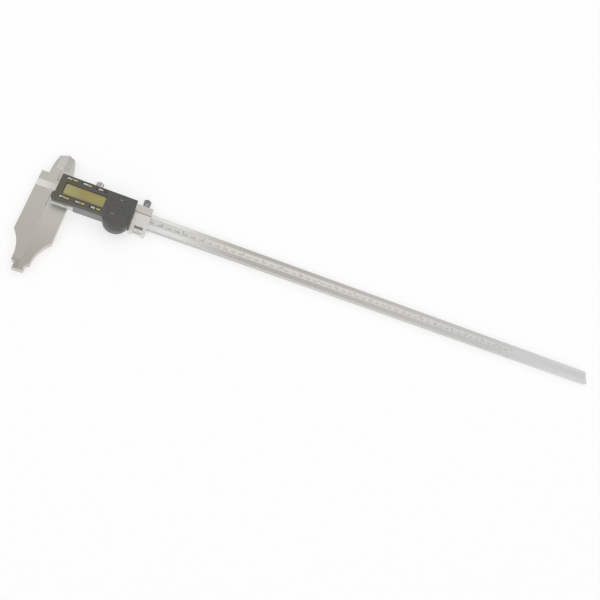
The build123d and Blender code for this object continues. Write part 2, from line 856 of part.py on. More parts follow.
def carriage_back_plate():
    """Plate that closes the carriage behind the beam."""
    body = slab(carriage_left, carriage_right, carriage_bar_bottom, carriage_top, back_z, frame_back)
    body = fillet(body.edges().filter_by(Axis.Z), carriage_edge_round)
    for x, y in carriage_screw_places():
        body -= post(x, y, back_z - 1, frame_back + 1, carriage_screw_r)
    return body


def carriage_plate_screws():
    """Flush screws of the carriage's back plate."""
    tip = frame_back + plate_screw_depth
    return [flush_screw(x, y, back_z, tip, carriage_screw_r) for x, y in carriage_screw_places()]


def carriage_gib():
    """Pressure leaf under the carriage's clamp screw."""
    high = gib_low + carriage_gib_thickness
    inset = carriage_edge_round
    return slab(carriage_left + inset, carriage_right - inset, gib_low, high,
                frame_back + gib_z_gap, -gib_z_gap)


def carriage_clamp_screw():
    """Clamp screw on top of the carriage."""
    tip = gib_low + carriage_gib_thickness + clamp_tip_gap
    return clamp_screw(carriage_clamp_x, tip, carriage_top)


def fine_adjust_nut():
    """Knurled nut between the carriage's lugs."""
    width = nut_right - nut_left
    standing = Plane((nut_left, rod_y, rod_z), x_dir=(0, 1, 0), z_dir=(1, 0, 0))
    grip = extrude(standing * toothed_outline(nut_r, nut_teeth, knurl_depth), width)
    return grip - bar_along_x(nut_left - 1, nut_right + 1, rod_y, rod_z, rod_r + rod_nut_gap)


def all_pieces():
    """Every piece by the name of its node."""
    pieces = {
        "main_beam": main_beam(),
        "scale_strip": scale_strip(),
        "end_stop": end_stop(),
        "end_stop_screws": end_stop_screws(),
        "slider_frame": slider_frame(),
        "slider_back_plate": slider_back_plate(),
        "back_plate_screws": back_plate_screws(),
        "gib_strip": gib_strip(),
        "gib_screws": gib_screws(),
        "slider_clamp_screw": slider_clamp_screw(),
        "pickup_board": pickup_board(),
        "board_connector": board_connector(),
        "housing_base": housing_base(),
        "base_screws": base_screws(),
        "front_cover": front_cover(),
        "cover_screws": cover_screws(),
        "main_board": main_board(),
        "processor_chip": processor_chip(),
        "key_domes": key_domes(),
        "zebra_strips": zebra_strips(),
        "lcd_cell": lcd_cell(),
        "lcd_window": lcd_window(),
        "battery": battery(),
        "battery_contacts": battery_contacts(),
        "battery_cap": battery_cap(),
        "thumb_wheel": thumb_wheel(),
        "friction_roller": friction_roller(),
        "wheel_axle": wheel_axle(),
        "wheel_clip": wheel_clip(),
        "fine_adjust_rod": fine_adjust_rod(),
        "carriage_frame": carriage_frame(),
        "carriage_back_plate": carriage_back_plate(),
        "carriage_plate_screws": carriage_plate_screws(),
        "carriage_gib": carriage_gib(),
        "carriage_clamp_screw": carriage_clamp_screw(),
        "fine_adjust_nut": fine_adjust_nut(),
    }
    rows = ("upper", "lower")
    for i, (x, y) in enumerate(key_places()):
        pieces[f"key_{rows[i // key_count]}_{i % key_count + 1}"] = key(x, y)
    return pieces


def origin_shift():
    """Move from the measuring corner to the point under the middle of the instrument."""
    middle_x = (beam_end - fixed_jaw_width) / 2
    middle_y = (blade_top + jaw_tip_y) / 2
    return Pos(-middle_x, -middle_y, -back_z)


def write_parts():
    """Write one file for each piece."""
    os.makedirs("parts", exist_ok=True)
    shift = origin_shift()
    for name, piece in all_pieces().items():
        solids = piece if isinstance(piece, list) else [piece]
        moved = [shift * solid for solid in solids]
        shape = Compound(children=moved) if len(moved) > 1 else moved[0]
        export_step(shape, f"parts/{name}.step")


write_parts()
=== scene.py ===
"""Looks of a long digital caliper that lies on its back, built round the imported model.

Lengths are in metres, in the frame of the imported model: +X runs along the beam away from the jaws,
+Y points to the upper jaws, and +Z points out of the display.
"""

import logging
import math
from dataclasses import dataclass, field
from enum import Enum
from typing import Iterable, Sequence

import bmesh
import bpy
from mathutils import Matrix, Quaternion, Vector


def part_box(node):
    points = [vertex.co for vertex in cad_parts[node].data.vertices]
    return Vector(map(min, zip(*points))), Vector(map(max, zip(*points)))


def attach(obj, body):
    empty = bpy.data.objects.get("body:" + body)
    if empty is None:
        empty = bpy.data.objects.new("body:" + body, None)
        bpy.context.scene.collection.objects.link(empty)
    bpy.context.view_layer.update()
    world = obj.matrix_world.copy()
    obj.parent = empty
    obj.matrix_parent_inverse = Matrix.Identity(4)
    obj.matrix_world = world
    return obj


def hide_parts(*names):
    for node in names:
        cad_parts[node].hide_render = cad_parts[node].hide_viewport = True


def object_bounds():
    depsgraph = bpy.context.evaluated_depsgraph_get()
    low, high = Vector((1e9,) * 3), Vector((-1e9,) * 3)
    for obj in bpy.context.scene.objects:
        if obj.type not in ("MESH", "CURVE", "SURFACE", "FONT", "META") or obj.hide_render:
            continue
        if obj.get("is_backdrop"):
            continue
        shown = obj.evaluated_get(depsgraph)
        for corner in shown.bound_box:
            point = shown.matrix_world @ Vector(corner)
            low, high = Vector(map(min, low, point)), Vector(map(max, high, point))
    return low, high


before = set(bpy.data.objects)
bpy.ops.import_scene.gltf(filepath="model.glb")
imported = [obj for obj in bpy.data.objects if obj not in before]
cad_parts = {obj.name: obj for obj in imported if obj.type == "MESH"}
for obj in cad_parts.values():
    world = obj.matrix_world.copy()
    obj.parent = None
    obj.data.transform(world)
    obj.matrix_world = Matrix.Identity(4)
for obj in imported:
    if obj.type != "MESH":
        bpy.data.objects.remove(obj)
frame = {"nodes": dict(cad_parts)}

log = logging.getLogger("caliper")

MM = 0.001
SCALE_START = 20.0 * MM
LETTER_STEPS = 2

STAIN_SCALE = (30.0, 45.0, 45.0)
STAIN_DETAIL = 3.0
STAIN_FROM = 0.35
STAIN_TO = 0.65
STAIN_TINT = (1.0, 0.99, 0.96)

GRAIN_DETAIL = 2.0
BUMP_STRENGTH = 0.35
ROUGHNESS_SPREAD = 0.02

Color = tuple[float, float, float]
Stops = Sequence[tuple[float, Color]]


class Grain(Enum):
    """Fine structure of a surface, with its noise scale along X, Y and Z in cycles per metre."""

    PLAIN = (0.0, 0.0, 0.0)
    BRUSHED_X = (12.0, 500.0, 500.0)
    BRUSHED_Y = (500.0, 12.0, 500.0)
    MOULDED = (3500.0, 3500.0, 3500.0)


def fill_ramp(ramp: bpy.types.Node, stops: Stops) -> None:
    """Set the colours of a colour ramp.

    Args:
        ramp: The ramp's node.
        stops: Places from 0 to 1, each with its colour.
    """
    elements = ramp.color_ramp.elements
    while len(elements) > 1:
        elements.remove(elements[-1])
    elements[0].position = stops[0][0]
    elements[0].color = (*stops[0][1], 1.0)
    for place, color in stops[1:]:
        elements.new(place).color = (*color, 1.0)


def add_ramp(tree: bpy.types.NodeTree, axis: str, stops: Stops) -> bpy.types.NodeSocket:
    """Add a colour ramp along one axis of the object.

    Args:
        tree: Node tree of the material.
        axis: X, Y or Z.
        stops: Places in metres, each with its colour.

    Returns:
        The socket that gives the colour.
    """
    place = tree.nodes.new("ShaderNodeTexCoord")
    split = tree.nodes.new("ShaderNodeSeparateXYZ")
    share = tree.nodes.new("ShaderNodeMapRange")
    ramp = tree.nodes.new("ShaderNodeValToRGB")
    first = stops[0][0]
    last = stops[-1][0]
    share.inputs["From Min"].default_value = first
    share.inputs["From Max"].default_value = last
    fill_ramp(ramp, [((at - first) / (last - first), color) for at, color in stops])
    tree.links.new(place.outputs["Object"], split.inputs["Vector"])
    tree.links.new(split.outputs[axis], share.inputs["Value"])
    tree.links.new(share.outputs["Result"], ramp.inputs["Fac"])
    return ramp.outputs["Color"]


def add_noise(tree: bpy.types.NodeTree, scale: Sequence[float], detail: float) -> bpy.types.NodeSocket:
    """Add a noise texture in object space.

    Args:
        tree: Node tree of the material.
        scale: Scale along X, Y and Z, in cycles per metre.
        detail: Octaves of the noise.

    Returns:
        The socket that gives the noise, from 0 to 1.
    """
    place = tree.nodes.new("ShaderNodeTexCoord")
    stretch = tree.nodes.new("ShaderNodeMapping")
    noise = tree.nodes.new("ShaderNodeTexNoise")
    stretch.inputs["Scale"].default_value = tuple(scale)
    noise.inputs["Scale"].default_value = 1.0
    noise.inputs["Detail"].default_value = detail
    tree.links.new(place.outputs["Object"], stretch.inputs["Vector"])
    tree.links.new(stretch.outputs["Vector"], noise.inputs["Vector"])
    return noise.outputs["Fac"]


def add_smooth_step(tree: bpy.types.NodeTree, value: bpy.types.NodeSocket,
                    start: float, full: float, level: float) -> bpy.types.NodeSocket:
    """Let a value rise smoothly from 0 to a level.

    Args:
        tree: Node tree.
        value: The socket that is followed.
        start: What it gives where the rise sets in.
        full: What it gives where the level is reached.
        level: The level.

    Returns:
        The socket that gives the result.
    """
    step = tree.nodes.new("ShaderNodeMapRange")
    step.interpolation_type = "SMOOTHSTEP"
    step.inputs["From Min"].default_value = start
    step.inputs["From Max"].default_value = full
    step.inputs["To Max"].default_value = level
    tree.links.new(value, step.inputs["Value"])
    return step.outputs["Result"]


@dataclass(frozen=True)
class Finish:
    """One finish of the object, built as a procedural material.

    Attributes:
        name: Name of the material.
        color: Base colour, linear.
        metallic: 1 for bare metal, 0 otherwise.
        roughness: Mean roughness.
        grain: Kind of fine structure.
        mottle: Share by which slow stains darken the colour.
        bump: Height of the fine structure, in metres.
        alpha: Opacity.
        specular: Strength of the reflection of a plastic.
        stops: Colours along one axis in place of the base colour, each with its place in metres.
        stops_axis: Axis of those places, X, Y or Z.
        shades: Shares along Y by which those colours are darkened, each with its place in metres, partly as
            painted shade.
    """

    name: str
    color: Color
    metallic: float = 0.0
    roughness: float = 0.5
    grain: Grain = Grain.PLAIN
    mottle: float = 0.0
    bump: float = 0.0
    alpha: float = 1.0
    specular: float = 0.5
    stops: Stops = ()
    stops_axis: str = "X"
    shades: Sequence[tuple[float, float]] = ()

    def build(self) -> bpy.types.Material:
        """Make the material, or return it if it was made before.

        Returns:
            The Blender material.
        """
        known = bpy.data.materials.get(self.name)
        if known is not None and known.get("ready"):
            return known
        material = bpy.data.materials.new(self.name)
        material.use_nodes = True
        material["ready"] = True
        tree = material.node_tree
        shader = tree.nodes["Principled BSDF"]
        shader.inputs["Base Color"].default_value = (*self.color, 1.0)
        shader.inputs["Metallic"].default_value = self.metallic
        shader.inputs["Roughness"].default_value = self.roughness
        shader.inputs["Specular IOR Level"].default_value = self.specular
        shader.inputs["Alpha"].default_value = self.alpha
        if self.stops:
            self._add_stops(tree, shader)
        elif self.mottle > 0.0:
            self._add_stains(tree, shader)
        if self.grain is not Grain.PLAIN:
            self._add_grain(tree, shader)
        log.info("finish %s", self.name)
        return material

    def _add_stains(self, tree: bpy.types.NodeTree, shader: bpy.types.Node) -> None:
        """Darken and warm the colour slowly over the surface.

        Args:
            tree: Node tree of the material.
            shader: Its main shader.
        """
        noise = add_noise(tree, STAIN_SCALE, STAIN_DETAIL)
        ramp = tree.nodes.new("ShaderNodeValToRGB")
        dark = 1.0 - self.mottle
        stained = tuple(value * dark * tint for value, tint in zip(self.color, STAIN_TINT))
        fill_ramp(ramp, ((STAIN_FROM, stained), (STAIN_TO, self.color)))
        tree.links.new(noise, ramp.inputs["Fac"])
        tree.links.new(ramp.outputs["Color"], shader.inputs["Base Color"])

    def _add_stops(self, tree: bpy.types.NodeTree, shader: bpy.types.Node) -> None:
        """Let the colour change along one axis, and darken it along Y where painted shades are given.

        Args:
            tree: Node tree of the material.
            shader: Its main shader.
        """
        color = add_ramp(tree, self.stops_axis, self.stops)
        if self.shades:
            grey = add_ramp(tree, "Y", [(at, (share,) * 3) for at, share in self.shades])
            product = tree.nodes.new("ShaderNodeVectorMath")
            product.operation = "MULTIPLY"
            tree.links.new(color, product.inputs[0])
            tree.links.new(grey, product.inputs[1])
            color = product.outputs["Vector"]
        tree.links.new(color, shader.inputs["Base Color"])

    def _add_grain(self, tree: bpy.types.NodeTree, shader: bpy.types.Node) -> None:
        """Add brushed lines or a moulded texture.

        Args:
            tree: Node tree of the material.
            shader: Its main shader.
        """
        noise = add_noise(tree, self.grain.value, GRAIN_DETAIL)
        if self.bump > 0.0:
            bump = tree.nodes.new("ShaderNodeBump")
            bump.inputs["Strength"].default_value = BUMP_STRENGTH
            bump.inputs["Distance"].default_value = self.bump
            tree.links.new(noise, bump.inputs["Height"])
            tree.links.new(bump.outputs["Normal"], shader.inputs["Normal"])
        spread = tree.nodes.new("ShaderNodeMapRange")
        spread.inputs["To Min"].default_value = self.roughness * (1.0 - ROUGHNESS_SPREAD)
        spread.inputs["To Max"].default_value = self.roughness * (1.0 + ROUGHNESS_SPREAD)
        tree.links.new(noise, spread.inputs["Value"])
        tree.links.new(spread.outputs["Result"], shader.inputs["Roughness"])


# Beam and jaw steel. Its changes of tone along X are painted reflection, apart from the warmer tone of the jaws:
# the darker stretches and the paler, bluer far end stand in for what the steel reflects. Along Y it is darker
# towards both jaw tips, and the thin band at Y 18.5 mm is painted shade on the beam's lower side.
GROUND_STEEL = Finish("ground_steel", (0.66, 0.65, 0.62), 1.0, 0.27, Grain.BRUSHED_X, stops=(
    (-0.400, (0.715, 0.685, 0.635)),
    (-0.375, (0.735, 0.705, 0.655)),
    (-0.340, (0.71, 0.68, 0.635)),
    (-0.270, (0.625, 0.625, 0.615)),
    (-0.150, (0.64, 0.625, 0.595)),
    (0.000, (0.685, 0.66, 0.635)),
    (0.200, (0.665, 0.655, 0.645)),
    (0.330, (0.765, 0.755, 0.765)),
    (0.400, (0.785, 0.775, 0.785)),
), shades=(
    (-0.0770, 0.80),
    (-0.0680, 0.82),
    (-0.0640, 1.00),
    (0.0184, 1.00),
    (0.0185, 0.88),
    (0.0186, 0.88),
    (0.0187, 1.00),
    (0.0500, 1.00),
    (0.0600, 0.93),
    (0.0770, 0.90),
))
# Steel of the slider, darker towards the lower jaw. The paler, greener band from Y 4.5 to 18 mm is painted light
# on the housing's boss and on the shade that falls beneath it.
SLIDER_STEEL = Finish("slider_steel_finish", (0.72, 0.70, 0.66), 1.0, 0.36, Grain.BRUSHED_Y, stops=(
    (-0.080, (0.63, 0.60, 0.555)),
    (-0.050, (0.66, 0.62, 0.565)),
    (-0.010, (0.755, 0.725, 0.68)),
    (0.003, (0.755, 0.725, 0.68)),
    (0.0045, (0.79, 0.795, 0.755)),
    (0.018, (0.79, 0.795, 0.755)),
    (0.024, (0.75, 0.72, 0.68)),
    (0.070, (0.72, 0.70, 0.67)),
), stops_axis="Y")
# Steel of the carriage, two-tone along Y. The thin dark band at Y 33.3 to 34.0 mm is painted shade along the
# groove across its front.
CARRIAGE_STEEL = Finish("carriage_steel_finish", (0.80, 0.78, 0.75), 1.0, 0.34, Grain.BRUSHED_X, stops=(
    (0.0070, (0.77, 0.75, 0.72)),
    (0.0332, (0.77, 0.75, 0.715)),
    (0.0333, (0.30, 0.27, 0.25)),
    (0.0340, (0.30, 0.27, 0.25)),
    (0.0341, (0.665, 0.63, 0.585)),
    (0.0450, (0.665, 0.63, 0.585)),
), stops_axis="Y")
BACK_STEEL = Finish("back_steel", (0.58, 0.56, 0.53), 1.0, 0.40, Grain.BRUSHED_X, mottle=0.08, bump=4e-6)
SCREW_STEEL = Finish("turned_steel", (0.45, 0.45, 0.45), 1.0, 0.32)
# Shaded and lit copies of one knurled steel: the darker one on the carriage's clamp screw is painted shade, the
# paler one on the slider's clamp screw is painted light.
SHADED_KNURLED_STEEL = Finish("shaded_knurled_steel", (0.36, 0.355, 0.34), 1.0, 0.20)
LIT_KNURLED_STEEL = Finish("lit_knurled_steel", (0.60, 0.59, 0.57), 1.0, 0.22)
NUT_STEEL = Finish("bright_steel", (0.79, 0.79, 0.77), 1.0, 0.22)
# Pale scale strip. Its changes of tone along X are painted reflection: the lighter jaw end, the darker stretch
# near X -0.27 m and the bluer far end stand in for what the strip reflects.
SCALE_METAL = Finish("satin_scale", (0.88, 0.86, 0.83), 0.12, 0.42, Grain.BRUSHED_X, stops=(
    (-0.400, (0.97, 0.96, 0.93)),
    (-0.340, (0.95, 0.94, 0.91)),
    (-0.270, (0.815, 0.805, 0.78)),
    (-0.150, (0.92, 0.89, 0.82)),
    (0.000, (0.925, 0.87, 0.83)),
    (0.200, (0.85, 0.84, 0.82)),
    (0.260, (0.825, 0.825, 0.825)),
    (0.390, (0.795, 0.795, 0.805)),
))
BRASS = Finish("rolled_brass", (0.72, 0.52, 0.22), 1.0, 0.35)
# Cover plastic, lighter and warmer towards its left end as painted reflection.
COVER_PLASTIC = Finish("cover_plastic_finish", (0.10, 0.096, 0.088), 0.0, 0.52, Grain.MOULDED, bump=2e-6, stops=(
    (-0.376, (0.143, 0.131, 0.095)),
    (-0.340, (0.120, 0.115, 0.099)),
    (-0.285, (0.115, 0.113, 0.106)),
))
# Paler and bluer than the cover's plastic; the paleness is painted light on the side faces of the housing base.
BASE_PLASTIC = Finish("base_plastic_finish", (0.286, 0.291, 0.295), 0.0, 0.45, Grain.MOULDED, bump=2e-6)
KEY_PLASTIC = Finish("key_plastic_finish", (0.079, 0.076, 0.068), 0.0, 0.48)
# Paler than the cover: painted highlight on the crests of the lobe's flutes.
RIB_HIGHLIGHT = Finish("rib_highlight", (0.46, 0.465, 0.475), 0.0, 0.42)
# Wheel plastic, lighter on the wheel's top face above Z 13.8 mm: painted light that lifts the shade under the
# cover's lobe.
WHEEL_PLASTIC = Finish("wheel_plastic_finish", (0.13, 0.13, 0.13), 0.0, 0.42, stops=(
    (0.0070, (0.155, 0.155, 0.155)),
    (0.0137, (0.155, 0.155, 0.155)),
    (0.0138, (0.24, 0.242, 0.246)),
), stops_axis="Z")
# Cap plastic, lighter at the floor and foot of the coin slot: painted light that lifts the shade in the slot.
CAP_PLASTIC = Finish("cap_plastic_finish", (0.10, 0.097, 0.092), 0.0, 0.50, stops=(
    (0.0190, (0.18, 0.175, 0.163)),
    (0.0196, (0.17, 0.163, 0.152)),
    (0.0198, (0.113, 0.110, 0.104)),
    (0.0200, (0.113, 0.110, 0.104)),
), stops_axis="Z")
# Display olive, lighter towards both ends; the much lighter left end is painted light that lifts the shade of
# the window's frame.
DISPLAY_OLIVE = Finish("display_olive", (0.43, 0.36, 0.118), 0.0, 0.35, stops=(
    (-0.367, (0.655, 0.60, 0.30)),
    (-0.345, (0.486, 0.40, 0.133)),
    (-0.316, (0.53, 0.472, 0.142)),
))
CLEAR_WINDOW = Finish("clear_window", (0.45, 0.42, 0.30), 0.0, 0.10, alpha=0.08, specular=0.3)
BLACK_RUBBER = Finish("black_rubber", (0.03, 0.03, 0.03), 0.0, 0.75)
ZEBRA_RUBBER = Finish("zebra_rubber_finish", (0.25, 0.22, 0.22), 0.0, 0.7)
BOARD_GREEN = Finish("board_green_finish", (0.04, 0.18, 0.08), 0.0, 0.35)
CHIP_BLACK = Finish("chip_black_finish", (0.03, 0.03, 0.03), 0.0, 0.4)
IVORY = Finish("connector_ivory_finish", (0.70, 0.66, 0.55), 0.0, 0.5)
SPRING_STEEL = Finish("spring_steel", (0.70, 0.70, 0.68), 1.0, 0.25)
SCALE_INK = Finish("scale_ink", (0.33, 0.33, 0.33), 0.0, 0.6, stops=(
    (-0.400, (0.33, 0.33, 0.33)),
    (-0.240, (0.36, 0.36, 0.36)),
    (-0.150, (0.52, 0.52, 0.48)),
    (0.000, (0.57, 0.57, 0.53)),
    (0.390, (0.54, 0.54, 0.53)),
))
WHITE_INK = Finish("white_ink", (0.92, 0.90, 0.88), 0.0, 0.5)
YELLOW_INK = Finish("yellow_ink", (0.84, 0.78, 0.30), 0.0, 0.5)
# Pale paint for the painted glints on the rim of the battery cap.
GLINT_INK = Finish("glint_ink", (0.50, 0.50, 0.47), 0.0, 0.5)

NODE_FINISHES: dict[str, Finish] = {
    "main_beam": GROUND_STEEL,
    "scale_strip": SCALE_METAL,
    "end_stop": BACK_STEEL,
    "end_stop_screws": SCREW_STEEL,
    "slider_frame": SLIDER_STEEL,
    "slider_back_plate": BACK_STEEL,
    "back_plate_screws": SCREW_STEEL,
    "gib_strip": BRASS,
    "gib_screws": SCREW_STEEL,
    "slider_clamp_screw": LIT_KNURLED_STEEL,
    "pickup_board": BOARD_GREEN,
    "board_connector": IVORY,
    "housing_base": BASE_PLASTIC,
    "base_screws": SCREW_STEEL,
    "front_cover": COVER_PLASTIC,
    "cover_screws": SCREW_STEEL,
    "main_board": BOARD_GREEN,
    "processor_chip": CHIP_BLACK,
    "key_domes": SPRING_STEEL,
    "zebra_strips": ZEBRA_RUBBER,
    "lcd_cell": DISPLAY_OLIVE,
    "lcd_window": CLEAR_WINDOW,
    "battery": SPRING_STEEL,
    "battery_contacts": BRASS,
    "battery_cap": CAP_PLASTIC,
    "thumb_wheel": WHEEL_PLASTIC,
    "friction_roller": BLACK_RUBBER,
    "wheel_axle": SCREW_STEEL,
    "wheel_clip": SCREW_STEEL,
    "fine_adjust_rod": SCREW_STEEL,
    "carriage_frame": CARRIAGE_STEEL,
    "carriage_back_plate": BACK_STEEL,
    "carriage_plate_screws": SCREW_STEEL,
    "carriage_gib": BRASS,
    "carriage_clamp_screw": SHADED_KNURLED_STEEL,
    "fine_adjust_nut": NUT_STEEL,
}


def paint(obj: bpy.types.Object, finish: Finish) -> None:
    """Give an object one finish.

    Args:
        obj: Object to paint.
        finish: Its finish.
    """
    obj.data.materials.clear()
    obj.data.materials.append(finish.build())


def link_mesh(name: str, mesh: bpy.types.Mesh, body: str, finish: Finish) -> bpy.types.Object:
    """Put a mesh in the scene as a piece that moves with a body.

    Args:
        name: Name of the piece.
        mesh: Its mesh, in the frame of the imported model.
        body: Body that it moves with.
        finish: Its finish.

    Returns:
        The new object.
    """
    obj = bpy.data.objects.new(name, mesh)
    bpy.context.scene.collection.objects.link(obj)
    paint(obj, finish)
    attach(obj, body)
    log.info("piece %s: %d faces on %s", name, len(mesh.polygons), body)
    return obj


def on_circle(x: float, y: float, radius: float, turn: float) -> tuple[float, float]:
    """Give the point of a circle at an angle.

    Args:
        x: First coordinate of the centre.
        y: Second coordinate of the centre.
        radius: Radius of the circle.
        turn: The angle, in radians.

    Returns:
        Both coordinates of the point.
    """
    return x + radius * math.cos(turn), y + radius * math.sin(turn)


def add_tube(shape: bmesh.types.BMesh, rings: Sequence[Sequence[bmesh.types.BMVert]]) -> None:
    """Join rings of corners into a closed tube.

    Args:
        shape: Shape that is being built.
        rings: Rings with the same number of corners, from one end to the other.
    """
    count = len(rings[0])
    for near, far in zip(rings, rings[1:]):
        for j in range(count):
            k = (j + 1) % count
            shape.faces.new((near[j], near[k], far[k], far[j]))
    shape.faces.new(list(reversed(rings[0])))
    shape.faces.new(rings[-1])


def shape_mesh(shape: bmesh.types.BMesh, name: str) -> bpy.types.Mesh:
    """Turn a shape into a mesh whose faces point outwards.

    Args:
        shape: The shape, which is freed.
        name: Name of the mesh.

    Returns:
        The mesh.
    """
    bmesh.ops.recalc_face_normals(shape, faces=shape.faces)
    mesh = bpy.data.meshes.new(name)
    shape.to_mesh(mesh)
    shape.free()
    return mesh


@dataclass
class MarkSheet:
    """Flat printed marks collected into one mesh.

    Attributes:
        name: Name of the piece.
        height: Z of the marks.
        boldness: How much letters are thickened, as a share of their height.
        corners: Corners of all the marks.
        faces: Faces as runs of corner numbers.
    """

    name: str
    height: float
    boldness: float = 0.0
    corners: list[tuple[float, float, float]] = field(default_factory=list)
    faces: list[tuple[int, ...]] = field(default_factory=list)

    def add_polygon(self, points: Iterable[tuple[float, float]]) -> None:
        """Add one flat mark.

        Args:
            points: Its corners, counterclockwise.
        """
        first = len(self.corners)
        self.corners.extend((x, y, self.height) for x, y in points)
        self.faces.append(tuple(range(first, len(self.corners))))

    def add_tick(self, x: float, y_low: float, y_high: float, width: float) -> None:
        """Add a thin mark along Y.

        Args:
            x: Its middle.
            y_low: Lower end.
            y_high: Upper end.
            width: Its width.
        """
        half = width / 2
        self.add_polygon([(x - half, y_low), (x + half, y_low), (x + half, y_high), (x - half, y_high)])

    def add_text(self, words: str, centre: Vector, size: float, width: float) -> None:
        """Add letters or digits, centred on a point.

        Args:
            words: What to write.
            centre: Middle of the text.
            size: Height of a capital letter.
            width: Width of the whole text.
        """
        curve = bpy.data.curves.new("letters", "FONT")
        curve.body = words
        curve.resolution_u = LETTER_STEPS
        curve.offset = self.boldness
        holder = bpy.data.objects.new("letters", curve)
        mesh = bpy.data.meshes.new_from_object(holder)
        low_x = min(vertex.co.x for vertex in mesh.vertices)
        high_x = max(vertex.co.x for vertex in mesh.vertices)
        low_y = min(vertex.co.y for vertex in mesh.vertices)
        high_y = max(vertex.co.y for vertex in mesh.vertices)
        stretch = width / (high_x - low_x)
        rise = size / (high_y - low_y)
        first = len(self.corners)
        for vertex in mesh.vertices:
            x = centre.x + (vertex.co.x - (low_x + high_x) / 2) * stretch
            y = centre.y + (vertex.co.y - (low_y + high_y) / 2) * rise
            self.corners.append((x, y, self.height))
        for polygon in mesh.polygons:
            self.faces.append(tuple(first + v for v in polygon.vertices))
        bpy.data.objects.remove(holder)
        bpy.data.curves.remove(curve)
        bpy.data.meshes.remove(mesh)

    def finish(self, body: str, finish: Finish) -> bpy.types.Object:
        """Make the piece.

        Args:
            body: Body that the marks move with.
            finish: Their ink.

        Returns:
            The new object.
        """
        mesh = bpy.data.meshes.new(self.name)
        mesh.from_pydata(self.corners, [], self.faces)
        mesh.update()
        return link_mesh(self.name, mesh, body, finish)


@dataclass
class PackedFinishes:
    """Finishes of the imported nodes.

    Attributes:
        nodes: The nodes by name.
    """

    nodes: dict[str, bpy.types.Object]

    def build(self) -> None:
        """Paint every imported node; the keys are those that the table of finishes leaves out."""
        for name, obj in self.nodes.items():
            paint(obj, NODE_FINISHES.get(name, KEY_PLASTIC))


@dataclass
class BeamScale:
    """Two graduated scales with plain numbers on the pale strip.

    Attributes:
        zero_x: Place of zero.
        metric_length: Length of the metric scale, in millimetres.
        metric_step: Millimetres between two long lines.
        inch_length: Length of the inch scale, in inches.
        inch: One inch.
        inch_parts: Divisions of an inch.
        line_width: Width of the lines.
        long_line: Length of a line with a number.
        middle_line: Length of a line halfway between two of those.
        short_line: Length of every other line.
        digit_height: Height of a digit.
        digit_width: Width of a digit.
        digit_spacing: Width of a number as a share of the width of its digits.
        digit_rise: Middle of a number above its foot, as a share of its height.
        boldness: How much digits are thickened, as a share of their height.
        ink_gap: Height of the ink above the strip.
    """

    zero_x: float
    metric_length: int = 600
    metric_step: int = 10
    inch_length: int = 24
    inch: float = 25.4 * MM
    inch_parts: int = 16
    line_width: float = 0.32 * MM
    long_line: float = 1.95 * MM
    middle_line: float = 1.6 * MM
    short_line: float = 1.2 * MM
    digit_height: float = 2.2 * MM
    digit_width: float = 1.75 * MM
    digit_spacing: float = 1.15
    digit_rise: float = 0.6
    boldness: float = 0.03
    ink_gap: float = 0.01 * MM

    def build(self) -> None:
        """Make the marks and the numbers."""
        low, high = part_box("scale_strip")
        top = high.z + self.ink_gap
        marks = MarkSheet("scale_marks", top)
        numbers = MarkSheet("scale_numbers", top, self.boldness)
        for i in range(self.metric_length + 1):
            length = self._line(i, self.metric_step)
            x = self.zero_x + i * MM
            marks.add_tick(x, low.y, low.y + length, self.line_width)
            if i % self.metric_step == 0 and i > 0:
                self._number(numbers, i, x, low.y + self.long_line)
        parts = self.inch_parts
        for i in range(self.inch_length * parts + 1):
            length = self._line(i, parts)
            x = self.zero_x + i * self.inch / parts
            marks.add_tick(x, high.y - length, high.y, self.line_width)
            if i % parts == 0 and i > 0:
                self._number(numbers, i // parts, x, high.y - self.long_line - self.digit_height)
        marks.finish("beam", SCALE_INK)
        numbers.finish("beam", SCALE_INK)

    def _line(self, count: int, long_step: int) -> float:
        """Give the length of one division line.

        Args:
            count: Number of the division.
            long_step: Divisions between two long lines.

        Returns:
            Its length.
        """
        if count % long_step == 0:
            return self.long_line
        return self.middle_line if count % (long_step // 2) == 0 else self.short_line

    def _number(self, sheet: MarkSheet, value: int, x: float, y_low: float) -> None:
        """Write a number beside a long line.

        Args:
            sheet: Where it is written.
            value: The number.
            x: Its middle.
            y_low: Its foot.
        """
        digits = str(value)
        centre = Vector((x, y_low + self.digit_height * self.digit_rise, 0.0))
        sheet.add_text(digits, centre, self.digit_height, self.digit_width * len(digits) * self.digit_spacing)


@dataclass(frozen=True)
class Word:
    """One printed word on a key.

    Attributes:
        key: Node of the key.
        name: Name of the piece.
        text: What it says.
        ink: Its colour.
        place: Middle of the word along the key, from -1 at its left end to 1 at its right end.
        width: Width of the word as a share of the key's length.
    """

    key: str
    name: str
    text: str
    ink: Finish
    place: float
    width: float


KEY_WORDS = (
    Word("key_upper_1", "word_upper_1_white", "ON", WHITE_INK, -0.52, 0.42),
    Word("key_upper_1", "word_upper_1_yellow", "OFF", YELLOW_INK, 0.46, 0.40),
    Word("key_upper_2", "word_upper_2_white", "mm", WHITE_INK, -0.34, 0.40),
    Word("key_upper_2", "word_upper_2_yellow", "in", YELLOW_INK, 0.44, 0.30),
    Word("key_upper_3", "word_upper_3_white", "ZERO", WHITE_INK, -0.30, 0.42),
    Word("key_lower_1", "word_lower_1_white", "SET", WHITE_INK, -0.64, 0.32),
    Word("key_lower_1", "word_lower_1_yellow", "HOLD", YELLOW_INK, 0.24, 0.50),
    Word("key_lower_2", "word_lower_2_white", "MAX", WHITE_INK, -0.44, 0.40),
    Word("key_lower_2", "word_lower_2_yellow", "MIN", YELLOW_INK, 0.42, 0.34),
    Word("key_lower_3", "word_lower_3_white", "REL", WHITE_INK, -0.38, 0.38),
    Word("key_lower_3", "word_lower_3_yellow", "ABS", YELLOW_INK, 0.48, 0.36),
)


